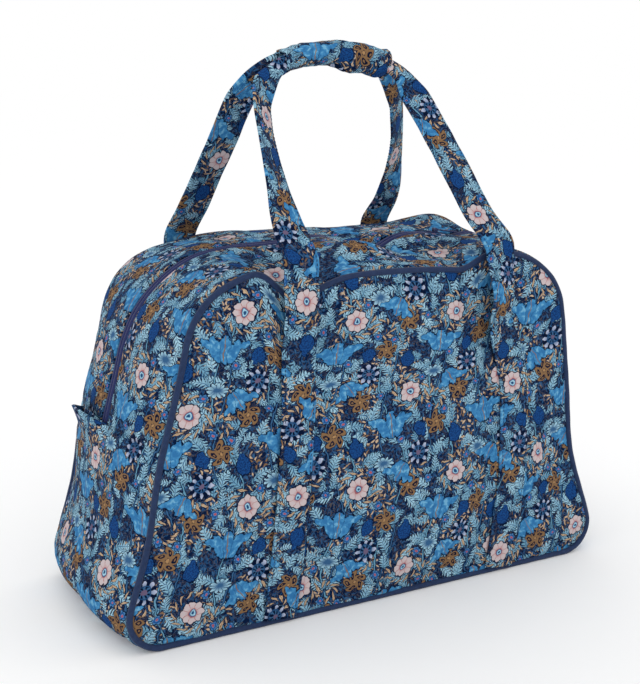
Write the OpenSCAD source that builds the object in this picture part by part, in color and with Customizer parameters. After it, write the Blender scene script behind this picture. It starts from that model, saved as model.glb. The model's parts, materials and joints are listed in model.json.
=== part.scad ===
// Soft knitting bag: two piped panels joined by a gusset, a long zip over the top,
// and two strap handles that one wrap holds together.
// Millimetres. X runs across the bag, Y from front to back, Z up.
// The origin is at the middle of the base, on the surface that the bag stands on.

/* [Body] */
// Width across the rounded base corners
body_w = 460; // [440:5:480]
// Depth over the piping
body_d = 190; // [180:2:200]
// Height at the middle of the top, without the handles
body_h = 306; // [296:2:316]
// Radius of the base corners
base_r = 30; // [26:1:36]
// Radius of the shoulders
shoulder_r = 78; // [72:1:84]
// Radius of the long arch over the top
top_r = 700; // [690:5:720]
// Diameter of the piping
piping_d = 5.2; // [4:0.2:6]

/* [Zip] */
// Height of the zip's two ends on the sides
zip_end_z = 160; // [150:5:170]
// Width of zip that shows between the two gusset halves
zip_gap = 18; // [16:1:20]
// Length of the slider
slider_l = 12; // [10:1:13]
// Length of the pull
pull_l = 25; // [20:1:28]

/* [Handles] */
// Width of the strap
strap_w = 30; // [26:1:32]
// Thickness of the strap
strap_t = 3.4; // [3:0.2:3.8]
// Half the distance between the two straps of one panel
strap_x = 106; // [100:1:112]
// Length of a handle from its fold at the piping to the middle of the grip
handle_l = 180; // [170:1:190]
// Length of the wrap that holds the two grips
wrap_l = 100; // [90:2:100]

/* [Hidden] */
$fn = 48;

// Layers of the wall, as depths inward from the outline.
fabric_t = 1.4;
wadding_t = 2.6;
lining_t = 1;
gap = 0.1;
tape_depth = fabric_t + gap;
tape_t = 0.6;
top_lining_depth = tape_depth + tape_t + gap;

// The piping fills the corner between a panel and the gusset.
piping_r = piping_d / 2;
piping_y = body_d / 2 - piping_r;
panel_y = body_d / 2 - 2;
panel_inset = piping_d + gap;
wadding_y = panel_y - fabric_t;
lining_y = wadding_y - wadding_t;
gusset_y = body_d / 2 - piping_d - gap;
inner_y = lining_y - lining_t - gap;

// Outline of the bag in the XZ plane: tangent arcs for the base corners, shoulders and top.
top_a = 9.7;
top_c = [0, body_h - top_r];
shoulder_c = top_c + (top_r - shoulder_r) * [sin(top_a), cos(top_a)];
base_c = [body_w / 2 - base_r, base_r];
side_run = base_c - shoulder_c;
side_a = atan2(side_run.y, side_run.x) + acos((shoulder_r - base_r) / norm(side_run));
side_n = [cos(side_a), sin(side_a)];
side_top = shoulder_c + shoulder_r * side_n;
side_foot = base_c + base_r * side_n;

// The middle of the top opens as two flaps, inside a rim stiffened by the seam.
mouth_a = 6.75;
rim_w = 11;
flap_hinge_y = gusset_y - rim_w;
park_a = 9;

// The zip's coil and the slider around it.
coil_in = 0.8;
coil_out = 3.3;
coil_depth = 0.3;
coil_t = 2.4;
tape_out = 15;
slider_wall = 1.5;
slider_in = coil_out + 0.3;
slider_out = slider_in + 1;
slider_up = coil_depth - 0.4;
slider_down = coil_depth + coil_t + 0.4;
post_t = 1;
pin_r = 0.6;
pin_h = 2;
eye_r = 0.75;
eye_wall = 0.75;
pull_t = 1.2;
pull_w = 6;
pull_neck_w = 2.6;

// Handles: each folds about a line just outside the piping, and its two straps lean to the grip.
fold_y = body_d / 2 + 4.5;
fold_z = body_h - 6;
fold_gap = 0.4;
leg_slope = 22 / 130;
leg_a = atan(leg_slope);
bend_r = 28;
bend_c = [strap_x - leg_slope * handle_l - bend_r * tan((90 - leg_a) / 2), handle_l - bend_r];
grip_half_w = 6.2;
grip_r = 6.5;
cover_t = 1;
strap_mid = fold_gap + strap_t / 2;
// Each handle leans from vertical until its grip is this far from the middle of the bag.
grip_y = 8.6;
handle_lean = asin((fold_y - grip_y) / norm([handle_l, strap_mid])) - atan(strap_mid / handle_l);
grip_z = fold_z + handle_l * cos(handle_lean) - strap_mid * sin(handle_lean);

// The wrap round the two grips.
wrap_r = 11;
wrap_t = 1.7;
patch_t = 0.7;
patch_w = 7;
patch_l = wrap_l - 16;

// A section is a list of [point, outward normal] along the outline.
function arc_section(c, r, a0, a1, n) = [
    for (i = [0:n]) let (a = a0 + (a1 - a0) * i / n, u = [cos(a), sin(a)]) [c + r * u, u]
];
function flip_x(section) = [
    for (i = [len(section) - 1:-1:0])
        [[-section[i][0].x, section[i][0].y], [-section[i][1].x, section[i][1].y]]
];
function side_point(z) = [
    side_top + (side_foot - side_top) * (z - side_top.y) / (side_foot.y - side_top.y), side_n
];
function inward(section, depth) = [for (p = section) p[0] - depth * p[1]];
function reversed(list) = [for (i = [len(list) - 1:-1:0]) list[i]];

base_right = arc_section(base_c, base_r, -90, side_a, 8);
shoulder_right = arc_section(shoulder_c, shoulder_r, side_a, 90 - top_a, 10);
top_arch = arc_section(top_c, top_r, 90 - top_a, 90 + top_a, 16);
outline = concat(base_right, shoulder_right, top_arch, flip_x(shoulder_right), flip_x(base_right));
top_half = concat([side_point(zip_end_z)], shoulder_right);
top_section = concat(top_half, top_arch, flip_x(top_half));
base_half = concat(base_right, [side_point(zip_end_z - 1)]);
base_section = concat(flip_x(base_half), base_half);
mouth_section = arc_section(top_c, top_r, 90 - mouth_a, 90 + mouth_a, 12);
end_half = concat(
    [side_point(zip_end_z + 6)],
    shoulder_right,
    arc_section(top_c, top_r, 90 - top_a, 90 - mouth_a - 0.1, 3)
);

// Stands a 2D shape drawn in XZ up, from y0 back to y1.
module across(y0, y1) translate([0, y1, 0]) rotate([90, 0, 0]) linear_extrude(y1 - y0) children();

// A strip that follows a section between two depths.
module strip(section, depth, thickness, y0, y1)
    across(y0, y1) polygon(concat(inward(section, depth), reversed(inward(section, depth + thickness))));

module to_back() mirror([0, 1, 0]) children();
module to_left() mirror([1, 0, 0]) children();

// Front and back panels with their wadding and lining.
module panel(y, thickness, inset)
    across(-y, thickness - y) polygon(inward(outline, inset));

module front_panel() color("steelblue") panel(panel_y, fabric_t, panel_inset);
module front_wadding() color("white") panel(wadding_y, wadding_t, panel_inset + 2);
module front_lining() color("midnightblue") panel(lining_y, lining_t, panel_inset);

// A round cord that follows the whole outline, as one closed tube.
module cord_ring(y, r, sides) {
    middle = inward(outline, r);
    rings = len(middle);
    points = [
        for (i = [0:rings - 1]) for (k = [0:sides - 1])
            let (a = 360 * k / sides, out = r * cos(a) * outline[i][1])
            [middle[i].x + out.x, y + r * sin(a), middle[i].y + out.y]
    ];
    faces = [
        for (i = [0:rings - 1]) for (k = [0:sides - 1])
            let (j = (i + 1) % rings, m = (k + 1) % sides)
            [i * sides + k, i * sides + m, j * sides + m, j * sides + k]
    ];
    polyhedron(points, faces, convexity = 4);
}

module front_piping() color("navy") cord_ring(-piping_y, piping_r, 8);

// The gusset under the zip ends: sides and base in one strip, with its wadding, lining and board.
module base_gusset() color("steelblue") strip(base_section, 0, fabric_t, -gusset_y, gusset_y);
module base_wadding() color("white") strip(base_section, fabric_t, wadding_t, -inner_y, inner_y);
module base_lining()
    color("midnightblue") strip(base_section, fabric_t + wadding_t, lining_t, -inner_y, inner_y);

module base_board() {
    board_t = 2.5;
    corner_r = 12;
    half = [base_c.x - 2 - corner_r, inner_y - 3 - corner_r];
    corner = arc_section([0, 0], corner_r, 0, 90, 6);
    points = [
        for (q = [0:3]) let (s = [q == 0 || q == 3 ? 1 : -1, q < 2 ? 1 : -1])
            for (p = q % 2 == 0 ? corner : reversed(corner))
                [s.x * (half.x + p[0].x), s.y * (half.y + p[0].y)]
    ];
    color("dimgray") translate([0, 0, fabric_t + wadding_t + lining_t + gap])
        linear_extrude(board_t) polygon(points);
}

// The top gusset is one strip each side of the zip, with the mouth flap cut free of its rim.
module mouth_window() {
    half = top_r * sin(mouth_a) + 0.4;
    translate([-half, -flap_hinge_y, body_h - 40]) cube([2 * half, flap_hinge_y + 1, 60]);
}

module top_strip(depth, thickness, y0)
    difference() {
        strip(top_section, depth, thickness, -y0, -zip_gap / 2);
        mouth_window();
    }

module front_top_gusset() color("steelblue") top_strip(0, fabric_t, gusset_y);
module front_top_lining() color("midnightblue") top_strip(top_lining_depth, lining_t, inner_y);
module front_mouth_flap()
    color("steelblue") strip(mouth_section, 0, fabric_t, -flap_hinge_y + 0.8, -zip_gap / 2);
module front_flap_lining()
    color("midnightblue")
        strip(mouth_section, top_lining_depth, lining_t, -flap_hinge_y + 0.8, -zip_gap / 2);

// Zip: tape, coil, stops, end tabs, slider and pull.
module front_zip_tape() color("navy") strip(mouth_section, tape_depth, tape_t, -tape_out, -coil_out);
module front_zip_coil() color("navy") strip(mouth_section, coil_depth, coil_t, -coil_out, -coil_in);

module front_zip_tape_ends()
    color("navy") for (s = [end_half, flip_x(end_half)])
        strip(s, tape_depth, tape_t, -tape_out, -coil_out);

module front_zip_coil_ends()
    color("navy") for (s = [end_half, flip_x(end_half)])
        strip(s, coil_depth, coil_t, -coil_out, -coil_in);

module zip_end_stops() {
    stop = [side_point(zip_end_z + 1), side_point(zip_end_z + 5.5)];
    color("navy") for (s = [stop, flip_x(stop)]) strip(s, 0, slider_down, -coil_out, coil_out);
}

// A folded tab sewn over each end of the zip, standing off the side at its upper edge.
module zip_end_tab_right() {
    tab_w = 54;
    tab_h = 32;
    tab_t = 2;
    stand_off = 17;
    foot = side_point(zip_end_z - 8);
    along = [-side_n.y, side_n.x];
    root = foot[0] + 0.3 * side_n;
    tip = root + tab_h * along + stand_off * side_n;
    color("steelblue") across(-tab_w / 2, tab_w / 2)
        polygon([root, root + tab_t * side_n, tip + tab_t * side_n, tip]);
}

// Places a child drawn at the origin on the zip's arch, at the slider's parking angle.
module parked() translate([0, 0, top_c.y]) rotate([0, park_a, 0]) translate([0, 0, top_r]) children();

module slider_box(y0, y1, depth0, depth1)
    translate([-slider_l / 2, y0, -depth1]) cube([slider_l, y1 - y0, depth1 - depth0]);

module zip_slider() {
    ear_w = 1;
    ear_l = 3.2;
    ear_in = pull_neck_w / 2 + 0.3;
    pin_z = pin_h - slider_up + slider_wall;
    color("navy") parked() {
        slider_box(-slider_out, slider_out, slider_up - slider_wall, slider_up);
        slider_box(-slider_out, slider_out, slider_down, slider_down + slider_wall);
        slider_box(-post_t / 2, post_t / 2, slider_up, slider_down);
        for (side = [-1, 1]) translate([0, side * (slider_in + slider_out) / 2, 0]) {
            slider_box(-0.5, 0.5, slider_up, tape_depth - 0.3);
            slider_box(-0.5, 0.5, tape_depth + tape_t + 0.3, slider_down);
        }
        for (side = [-1, 1]) translate([-ear_l / 2, side * (ear_in + ear_w / 2) - ear_w / 2, slider_wall - slider_up])
            cube([ear_l, ear_w, pin_h + pin_r + 0.6]);
        translate([0, ear_in + ear_w / 2, pin_z]) rotate([90, 0, 0]) cylinder(h = 2 * ear_in + ear_w, r = pin_r);
    }
}

module zip_pull() {
    pin_z = pin_h - slider_up + slider_wall;
    color("silver") parked() translate([0, 0, pin_z]) difference() {
        union() {
            rotate([90, 0, 0]) cylinder(h = pull_neck_w, r = eye_r + eye_wall, center = true);
            translate([eye_r + 0.2, -pull_neck_w / 2, -pull_t / 2]) cube([8, pull_neck_w, pull_t]);
            translate([7, -pull_w / 2, -pull_t / 2]) cube([pull_l - 7 - pull_w / 2, pull_w, pull_t]);
            translate([pull_l - pull_w / 2, 0, -pull_t / 2]) cylinder(h = pull_t, r = pull_w / 2);
        }
        rotate([90, 0, 0]) cylinder(h = pull_neck_w + 2, r = eye_r, center = true);
    }
}

// The strap runs up the panel, sewn to it, and crosses the piping at the top.
module front_strap_right() {
    stand_z = fold_z - 22;
    foot_z = piping_d + 0.4;
    top_z = fold_z - 3.6;
    x0 = strap_x - strap_w / 2;
    sewn_y = panel_y + gap;
    over_y = body_d / 2 + gap;
    profile = [
        [-sewn_y, foot_z], [-sewn_y, stand_z - 8], [-over_y, stand_z], [-over_y, top_z],
        [-over_y - strap_t, top_z], [-over_y - strap_t, stand_z], [-sewn_y - strap_t, stand_z - 8],
        [-sewn_y - strap_t, foot_z]
    ];
    color("steelblue") translate([x0, 0, 0]) rotate([90, 0, 90]) linear_extrude(strap_w) polygon(profile);
}

// Half-width of the handle along its bend, from the flat strap to the folded grip.
function ribbon_half(i, n, trim) =
    let (u = i / n) strap_w / 2 + (grip_half_w - strap_w / 2) * u * u * (3 - 2 * u) - trim;

// One side of the handle's outline, out (side = 1) or in (side = -1) from its middle line.
function ribbon_edge(side, trim, start) =
    let (n = 10, u0 = [cos(leg_a), sin(leg_a)])
    concat(
        [[strap_x - leg_slope * start, start] + side * ribbon_half(0, n, trim) * u0],
        [for (i = [0:n]) let (a = leg_a + (90 - leg_a) * i / n)
            bend_c + (bend_r + side * ribbon_half(i, n, trim)) * [cos(a), sin(a)]]
    );
function flip_points(list) = [for (p = list) [-p.x, p.y]];

module ribbon(trim, start, bottom, thickness) {
    outer = ribbon_edge(1, trim, start);
    inner = ribbon_edge(-1, trim, start);
    translate([0, 0, bottom]) linear_extrude(thickness)
        polygon(concat(outer, reversed(flip_points(outer)), flip_points(inner), reversed(inner)));
}

// Stands a handle drawn flat up on the front panel's fold line, leaning inward.
module on_front_fold() translate([0, -fold_y, fold_z]) rotate([90 - handle_lean, 0, 0]) children();

module front_handle() {
    core_t = strap_t - 2 * cover_t;
    color("steelblue") on_front_fold() difference() {
        union() {
            ribbon(0, 1, -fold_gap - strap_t, strap_t);
            translate([-bend_c.x, handle_l, -strap_mid]) rotate([0, 90, 0])
                cylinder(h = 2 * bend_c.x, r = grip_r);
        }
        ribbon(cover_t, 2.4, -fold_gap - cover_t - core_t, core_t);
    }
}

module front_handle_webbing() {
    core_t = strap_t - 2 * cover_t;
    slack = 0.15;
    color("dimgray") on_front_fold()
        ribbon(cover_t + slack, 2.6, -fold_gap - cover_t - core_t + slack, core_t - 2 * slack);
}

// The wrap: a padded base sewn round the back of the back grip, and a cloth flap that goes over
// both grips and under them.
module along_x(length) translate([-length / 2, 0, 0]) rotate([90, 0, 90]) linear_extrude(length) children();

module grips_outline(r) {
    translate([-grip_y, 0]) circle(r);
    translate([grip_y, 0]) circle(r);
    square([2 * grip_y, 2 * r], center = true);
}

module wrap_base()
    color("steelblue") translate([0, 0, grip_z]) along_x(wrap_l) difference() {
        translate([grip_y, 0]) circle(wrap_r);
        translate([grip_y, 0]) circle(grip_r + gap);
        translate([grip_y + 0.2 - 2 * wrap_r, -2 * wrap_r]) square([2 * wrap_r, 4 * wrap_r]);
    }

module wrap_flap()
    color("steelblue") translate([0, 0, grip_z]) along_x(wrap_l) difference() {
        grips_outline(wrap_r);
        grips_outline(wrap_r - wrap_t);
        translate([grip_y - 0.1, -2 * wrap_r]) square([2 * wrap_r, 4 * wrap_r]);
    }

module wrap_patch(depth)
    translate([0, 0, grip_z]) along_x(patch_l)
        translate([grip_y - patch_w - 0.5, -wrap_r + wrap_t + depth]) square([patch_w, patch_t]);

module wrap_hook_patch() color("dimgray") wrap_patch(0.05);
module wrap_loop_patch() color("black") wrap_patch(patch_t + 0.35);

front_panel();
to_back() front_panel();  // back_panel
front_wadding();
to_back() front_wadding();  // back_wadding
front_lining();
to_back() front_lining();  // back_lining
base_gusset();
base_wadding();
base_lining();
base_board();
front_piping();
to_back() front_piping();  // back_piping
front_top_gusset();
to_back() front_top_gusset();  // back_top_gusset
front_top_lining();
to_back() front_top_lining();  // back_top_lining
front_mouth_flap();
to_back() front_mouth_flap();  // back_mouth_flap
front_flap_lining();
to_back() front_flap_lining();  // back_flap_lining
front_zip_tape();
to_back() front_zip_tape();  // back_zip_tape
front_zip_coil();
to_back() front_zip_coil();  // back_zip_coil
front_zip_tape_ends();
to_back() front_zip_tape_ends();  // back_zip_tape_ends
front_zip_coil_ends();
to_back() front_zip_coil_ends();  // back_zip_coil_ends
zip_end_stops();
to_left() zip_end_tab_right();  // zip_end_tab_left
zip_end_tab_right();
zip_slider();
zip_pull();
to_left() front_strap_right();  // front_strap_left
front_strap_right();
to_back() to_left() front_strap_right();  // back_strap_left
to_back() front_strap_right();  // back_strap_right
front_handle();
front_handle_webbing();
to_back() front_handle();  // back_handle
to_back() front_handle_webbing();  // back_handle_webbing
wrap_base();
wrap_loop_patch();
wrap_flap();
wrap_hook_patch();
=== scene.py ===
"""Soft knitting bag: printed cloth shells, piping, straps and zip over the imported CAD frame."""
import json
import math
import random
from math import pi

import bpy
import numpy as np
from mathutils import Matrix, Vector, noise
from mathutils.geometry import delaunay_2d_cdt


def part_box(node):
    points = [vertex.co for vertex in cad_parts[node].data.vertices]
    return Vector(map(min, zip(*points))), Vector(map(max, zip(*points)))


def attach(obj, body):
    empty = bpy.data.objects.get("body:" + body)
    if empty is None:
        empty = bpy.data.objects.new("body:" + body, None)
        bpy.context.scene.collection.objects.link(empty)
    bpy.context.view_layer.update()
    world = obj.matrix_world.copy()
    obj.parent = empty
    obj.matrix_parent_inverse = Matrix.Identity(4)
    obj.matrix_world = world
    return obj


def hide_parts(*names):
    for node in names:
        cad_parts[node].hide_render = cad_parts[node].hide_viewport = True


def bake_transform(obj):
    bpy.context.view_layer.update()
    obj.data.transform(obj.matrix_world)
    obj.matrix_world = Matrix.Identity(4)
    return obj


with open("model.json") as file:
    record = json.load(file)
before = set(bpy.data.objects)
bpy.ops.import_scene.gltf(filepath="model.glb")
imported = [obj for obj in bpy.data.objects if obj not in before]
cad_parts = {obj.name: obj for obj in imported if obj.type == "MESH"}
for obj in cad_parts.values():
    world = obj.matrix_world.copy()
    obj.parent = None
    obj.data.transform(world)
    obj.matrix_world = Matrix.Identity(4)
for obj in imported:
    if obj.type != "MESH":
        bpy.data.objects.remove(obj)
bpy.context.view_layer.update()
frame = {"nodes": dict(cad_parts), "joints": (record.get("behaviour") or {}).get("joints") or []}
joints = {joint["name"]: joint for joint in frame["joints"]}
scene = bpy.context.scene
mm = 0.001

# Sizes that the frame gives.
piping_low, piping_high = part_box("front_piping")
half_w = piping_high[0]
body_h = piping_high[2]
half_d = -piping_low[1]
piping_r = (piping_high[1] - piping_low[1]) / 2
mouth_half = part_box("front_mouth_flap")[1][0]
zip_end_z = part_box("front_top_gusset")[0][2]
fold = joints["front_handle_swing"]["pos_m"]
fold_y, fold_z = -fold[1], fold[2]
grip_seam = joints["wrap_open"]["pos_m"]
grip_y = grip_seam[1]
grip_z = (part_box("wrap_base")[0][2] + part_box("wrap_base")[1][2]) / 2
strap_low, strap_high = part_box("front_strap_right")
strap_w = strap_high[0] - strap_low[0]

# The outline's arcs, as the pattern is cut.
base_r = 30 * mm
shoulder_r = 78 * mm
top_r = 700 * mm
top_angle = math.radians(9.7)
wall_t = 4 * mm
strap_t = 3.4 * mm

SIDES = ((-1, "front"), (1, "back"))

# How the soft bag strays from its pattern. Each bump is (height, place, half width), in metres along x.
FRONT_SINK = 0.021
FRONT_SAGS = [(0.009, -0.076, 0.024), (0.004, -0.130, 0.030), (0.004, 0.112, 0.022), (-0.005, 0.182, 0.028)]
ZIP_SAGS = [(0.020, 0.032, 0.028), (0.003, -0.050, 0.030), (-0.015, 0.155, 0.020)]
BACK_SAGS = [(0.007, 0.048, 0.045), (0.007, -0.022, 0.045), (0.004, -0.120, 0.040), (-0.014, 0.158, 0.030)]
SLIDER_X = 0.110
STRAP_SEAM_TOP = 0.236
PANEL_CROWN = 0.008
SIDE_CROWN = 0.013

# ---- shape of the bag


def ramp(x, low, high):
    """0 below low, 1 above high, and smooth between."""
    t = np.clip((x - low) / (high - low), 0, 1)
    return t * t * (3 - 2 * t)


def bump(x, centre, width):
    """1 at the centre, falling off smoothly to both sides."""
    return np.exp(-(((x - centre) / width) ** 2))


def add_bumps(x, bumps, start=0):
    return sum((height * bump(x, centre, width) for height, centre, width in bumps), start)


def half_outline():
    """Right half of the outline from the middle of the top to the middle of the base.

    Returns the distance along it, x, z and the outward normal's x and z, as arrays.
    """
    top_c = np.array([0, body_h - top_r])
    shoulder_c = top_c + (top_r - shoulder_r) * np.array([math.sin(top_angle), math.cos(top_angle)])
    base_c = np.array([half_w - base_r, base_r])
    run = base_c - shoulder_c
    side_angle = math.atan2(run[1], run[0]) + math.acos((shoulder_r - base_r) / np.hypot(*run))
    arcs = [
        (top_c, top_r, pi / 2, pi / 2 - top_angle, 40),
        (shoulder_c, shoulder_r, pi / 2 - top_angle, side_angle, 60),
        (base_c, base_r, side_angle, -pi / 2, 50),
    ]
    points, normals = [], []
    for centre, radius, start, end, count in arcs:
        for angle in np.linspace(start, end, count):
            normal = np.array([math.cos(angle), math.sin(angle)])
            points.append(centre + radius * normal)
            normals.append(normal)
    points.append(np.array([0, 0]))
    normals.append(np.array([0, -1]))
    points, normals = np.array(points), np.array(normals)
    steps = np.hypot(*np.diff(points, axis=0).T)
    return np.concatenate([[0], np.cumsum(steps)]), *points.T, *normals.T


outline = half_outline()
half_loop = outline[0][-1]


def along(t, depth):
    """The outline's x and z at distance t right of the middle of the top, set in by depth."""
    t = np.asarray(t, float)
    side = np.sign(t)
    distance, x, z, normal_x, normal_z = outline
    at = np.abs(t)
    nx, nz = np.interp(at, distance, normal_x), np.interp(at, distance, normal_z)
    size = np.hypot(nx, nz)
    nx, nz = side * nx / size, nz / size
    px, pz = side * np.interp(at, distance, x), np.interp(at, distance, z)
    return px - depth * nx, pz - depth * nz, nx, nz


on_side = outline[0] > 0.15
zip_end_t = float(np.interp(-zip_end_z, -outline[2][on_side], outline[0][on_side]))
mouth_t = float(np.interp(mouth_half, outline[1][:40], outline[0][:40]))


def settle(points):
    """Where the soft bag really hangs: its top sinks between the straps and its shoulders swell."""
    points = np.array(points, float)
    x, y, z = points[..., 0], points[..., 1], points[..., 2]
    high = ramp(z, 0.16, 0.285)
    front = ramp(-y, -0.010, 0.090)
    back = ramp(y, -0.010, 0.090)
    between_straps = ramp(x, -0.120, -0.085) * (1 - ramp(x, 0.070, 0.112))
    front_drop = add_bumps(x, FRONT_SAGS, FRONT_SINK * between_straps)
    drop = front * front_drop + (1 - front - back) * add_bumps(x, ZIP_SAGS) + back * add_bumps(x, BACK_SAGS)
    back_puff = 0.010 * bump(y, 0.050, 0.028) * bump(x, 0.142, 0.034)
    front_puff = 0.011 * bump(y, -0.048, 0.020) * bump(x, 0.012, 0.040)
    slanted_fold = 0.006 * bump(y + 0.5 * (x - 0.055), -0.030, 0.010) * bump(x, 0.055, 0.022)
    drop = drop - (back_puff + front_puff - slanted_fold)
    drop = drop * (1 - bump(y, 0, 0.014) * bump(np.abs(x), SLIDER_X, 0.022))
    right_shoulder = 0.006 * ramp(x, 0.130, 0.190) * bump(z, 0.245, 0.045)
    left_shoulder = 0.003 * ramp(-x, 0.130, 0.190) * bump(z, 0.225, 0.060)
    right_hollow = 0.009 * ramp(x, 0.150, 0.200) * bump(z, 0.102, 0.052)
    left_hollow = 0.004 * ramp(-x, 0.150, 0.200) * bump(z, 0.088, 0.040)
    points[..., 2] = z - high * drop
    points[..., 0] = x + (right_shoulder + left_shoulder) - (right_hollow - left_hollow)
    return points


def gusset_point(t, y, depth):
    """A point on the gusset, t along the outline and y across; its sides are crowned."""
    x, z, nx, nz = along(t, depth)
    full = SIDE_CROWN * ramp(z, -0.014, 0.018) - 0.003 * bump(z, 0.085, 0.035)
    crown = full * (1 - ramp(z, 0.215, 0.288)) * (1 - (y / half_d) ** 2)
    outward = crown * np.sqrt(1 - np.clip(nz, 0, 1) ** 2) * np.sign(x)
    points = np.stack(np.broadcast_arrays(x + outward, y, z + crown * np.clip(nz, 0, 1)), axis=-1)
    return settle(points)


def panel_bulge(x, z):
    """How far a panel stands out between its seams."""
    reach = np.interp(z, outline[2][::-1], outline[1][::-1])
    side = np.clip(1 - (x / np.maximum(reach, 0.02)) ** 2, 0, 1)
    return PANEL_CROWN * side * np.sin(np.pi * np.clip(z / body_h, 0, 1)) ** 0.8


def strap_line(side, hand, z):
    """Where the middle of a sewn strap lies across the panel: side -1 is front, hand -1 is left."""
    places = {
        (-1, -1): (-100, -91, -85, -83), (-1, 1): (121, 130, 130, 108),
        (1, -1): (-104, -106, -106, -100), (1, 1): (104, 107, 109, 108),
    }[side, hand]
    return np.interp(z, [0.0, 0.09, 0.17, 0.26], places) * mm

# ---- mesh helpers


def new_piece(name, vertices, faces, loop_uvs, materials):
    """Makes a smooth shaded object; loop_uvs holds one pair for each corner of each face."""
    mesh = bpy.data.meshes.new(name)
    mesh.from_pydata([tuple(map(float, v)) for v in vertices], [], faces)
    layer = mesh.uv_layers.new(name="UVMap")
    layer.data.foreach_set("uv", np.asarray(loop_uvs, np.float32).ravel())
    mesh.polygons.foreach_set("use_smooth", [True] * len(mesh.polygons))
    for material in materials:
        mesh.materials.append(material)
    mesh.update()
    piece = bpy.data.objects.new(name, mesh)
    scene.collection.objects.link(piece)
    return piece


def grid_piece(name, points, uvs, materials, around=False, capped=False):
    """A quad mesh from points[row][column]; around joins the last column to the first."""
    rows, columns = points.shape[:2]
    faces, loop_uvs = [], []
    for i in range(rows - 1):
        for j in range(columns if around else columns - 1):
            k = (j + 1) % columns
            faces.append([i * columns + j, i * columns + k, (i + 1) * columns + k, (i + 1) * columns + j])
            loop_uvs += [uvs[i, j], uvs[i, j + 1], uvs[i + 1, j + 1], uvs[i + 1, j]]
    if capped:
        for row, step in ((0, -1), (rows - 1, 1)):
            order = list(range(columns))[::step]
            faces.append([row * columns + j for j in order])
            loop_uvs += [uvs[row, j] for j in order]
    return new_piece(name, points.reshape(-1, 3), faces, loop_uvs, materials)


def uv_grid(u, v):
    """Pairs of u and v for a grid, from a row and a column of values."""
    return np.stack(np.broadcast_arrays(u, v), axis=-1)


def thicken(piece, thickness, inner=0):
    """Gives a cloth its thickness, inwards; inner is the material slot of its inner face."""
    solid = piece.modifiers.new("thickness", "SOLIDIFY")
    solid.thickness = thickness
    solid.offset = -1
    solid.material_offset = inner
    solid.material_offset_rim = 0
    bake(piece)


def bake(piece):
    bpy.context.view_layer.update()
    evaluated = piece.evaluated_get(bpy.context.evaluated_depsgraph_get())
    mesh = bpy.data.meshes.new_from_object(evaluated)
    piece.modifiers.clear()
    piece.data = mesh


soft_cloths = []
CLOTH_STEPS = 16
CLOTH_SETTINGS = {
    "vertex_group_mass": "sewn", "quality": 5, "mass": 0.25, "use_pressure": True, "bending_stiffness": 1.2,
    "tension_stiffness": 12, "compression_stiffness": 12, "shear_stiffness": 6,
}


def sew(piece, pinned, pressure, slack, most):
    """Lists a cloth for the simulation: pinned vertices stay sewn, the rest may puff by at most most."""
    group = piece.vertex_groups.new(name="sewn")
    group.add([int(i) for i in pinned], 1.0, "REPLACE")
    cloth = piece.modifiers.new("cloth", "CLOTH")
    for key, value in CLOTH_SETTINGS.items():
        setattr(cloth.settings, key, value)
    cloth.settings.uniform_pressure_force = pressure
    cloth.settings.shrink_min = -slack
    cloth.settings.effector_weights.gravity = 0
    cloth.collision_settings.use_collision = False
    cloth.point_cache.frame_start = 1
    cloth.point_cache.frame_end = 20
    soft_cloths.append((piece, most))


def relax_cloths():
    """Runs every listed cloth together, caps its movement and keeps its last shape."""
    for step in range(1, CLOTH_STEPS + 1):
        scene.frame_set(step)
    depsgraph = bpy.context.evaluated_depsgraph_get()
    for piece, most in soft_cloths:
        count = len(piece.data.vertices)
        rest, moved = np.empty(count * 3, np.float32), np.empty(count * 3, np.float32)
        piece.data.vertices.foreach_get("co", rest)
        piece.evaluated_get(depsgraph).data.vertices.foreach_get("co", moved)
        shift = (moved - rest).reshape(-1, 3)
        length = np.linalg.norm(shift, axis=1, keepdims=True)
        shift *= np.minimum(1, most * np.tanh(length / most) / np.maximum(length, 1e-9))
        settled = (rest + shift.ravel()).reshape(-1, 3)
        settled[:, 2] = np.maximum(settled[:, 2], 0.2 * mm)
        piece.data.vertices.foreach_set("co", settled.ravel())
        piece.modifiers.clear()
        piece.data.update()
    scene.frame_set(1)


def unit(vectors):
    """The vectors, each one metre long."""
    return vectors / np.maximum(np.linalg.norm(vectors, axis=-1, keepdims=True), 1e-9)


def smooth_path(points, spacing):
    """A Catmull-Rom curve through the points, resampled at an even spacing."""
    points = np.array(points, float)
    padded = np.vstack([2 * points[0] - points[1], points, 2 * points[-1] - points[-2]])
    dense = []
    for a, b, c, d in zip(padded, padded[1:], padded[2:], padded[3:]):
        square, cube = 2 * a - 5 * b + 4 * c - d, 3 * b - a - 3 * c + d
        for t in np.linspace(0, 1, 24, endpoint=False):
            dense.append(0.5 * (2 * b + (c - a) * t + square * t**2 + cube * t**3))
    dense = np.array(dense + [points[-1]])
    distance = np.concatenate([[0], np.cumsum(np.linalg.norm(np.diff(dense[:, :3], axis=0), axis=1))])
    even = np.linspace(0, distance[-1], max(2, round(distance[-1] / spacing)) + 1)
    return np.stack([np.interp(even, distance, dense[:, k]) for k in range(dense.shape[1])], axis=1)


def square_to(path, normals):
    """The normals set square to the path, and the directions across it."""
    tangents = unit(np.gradient(path, axis=0))
    normals = unit(normals - (normals * tangents).sum(1, keepdims=True) * tangents)
    return normals, np.cross(tangents, normals)


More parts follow.
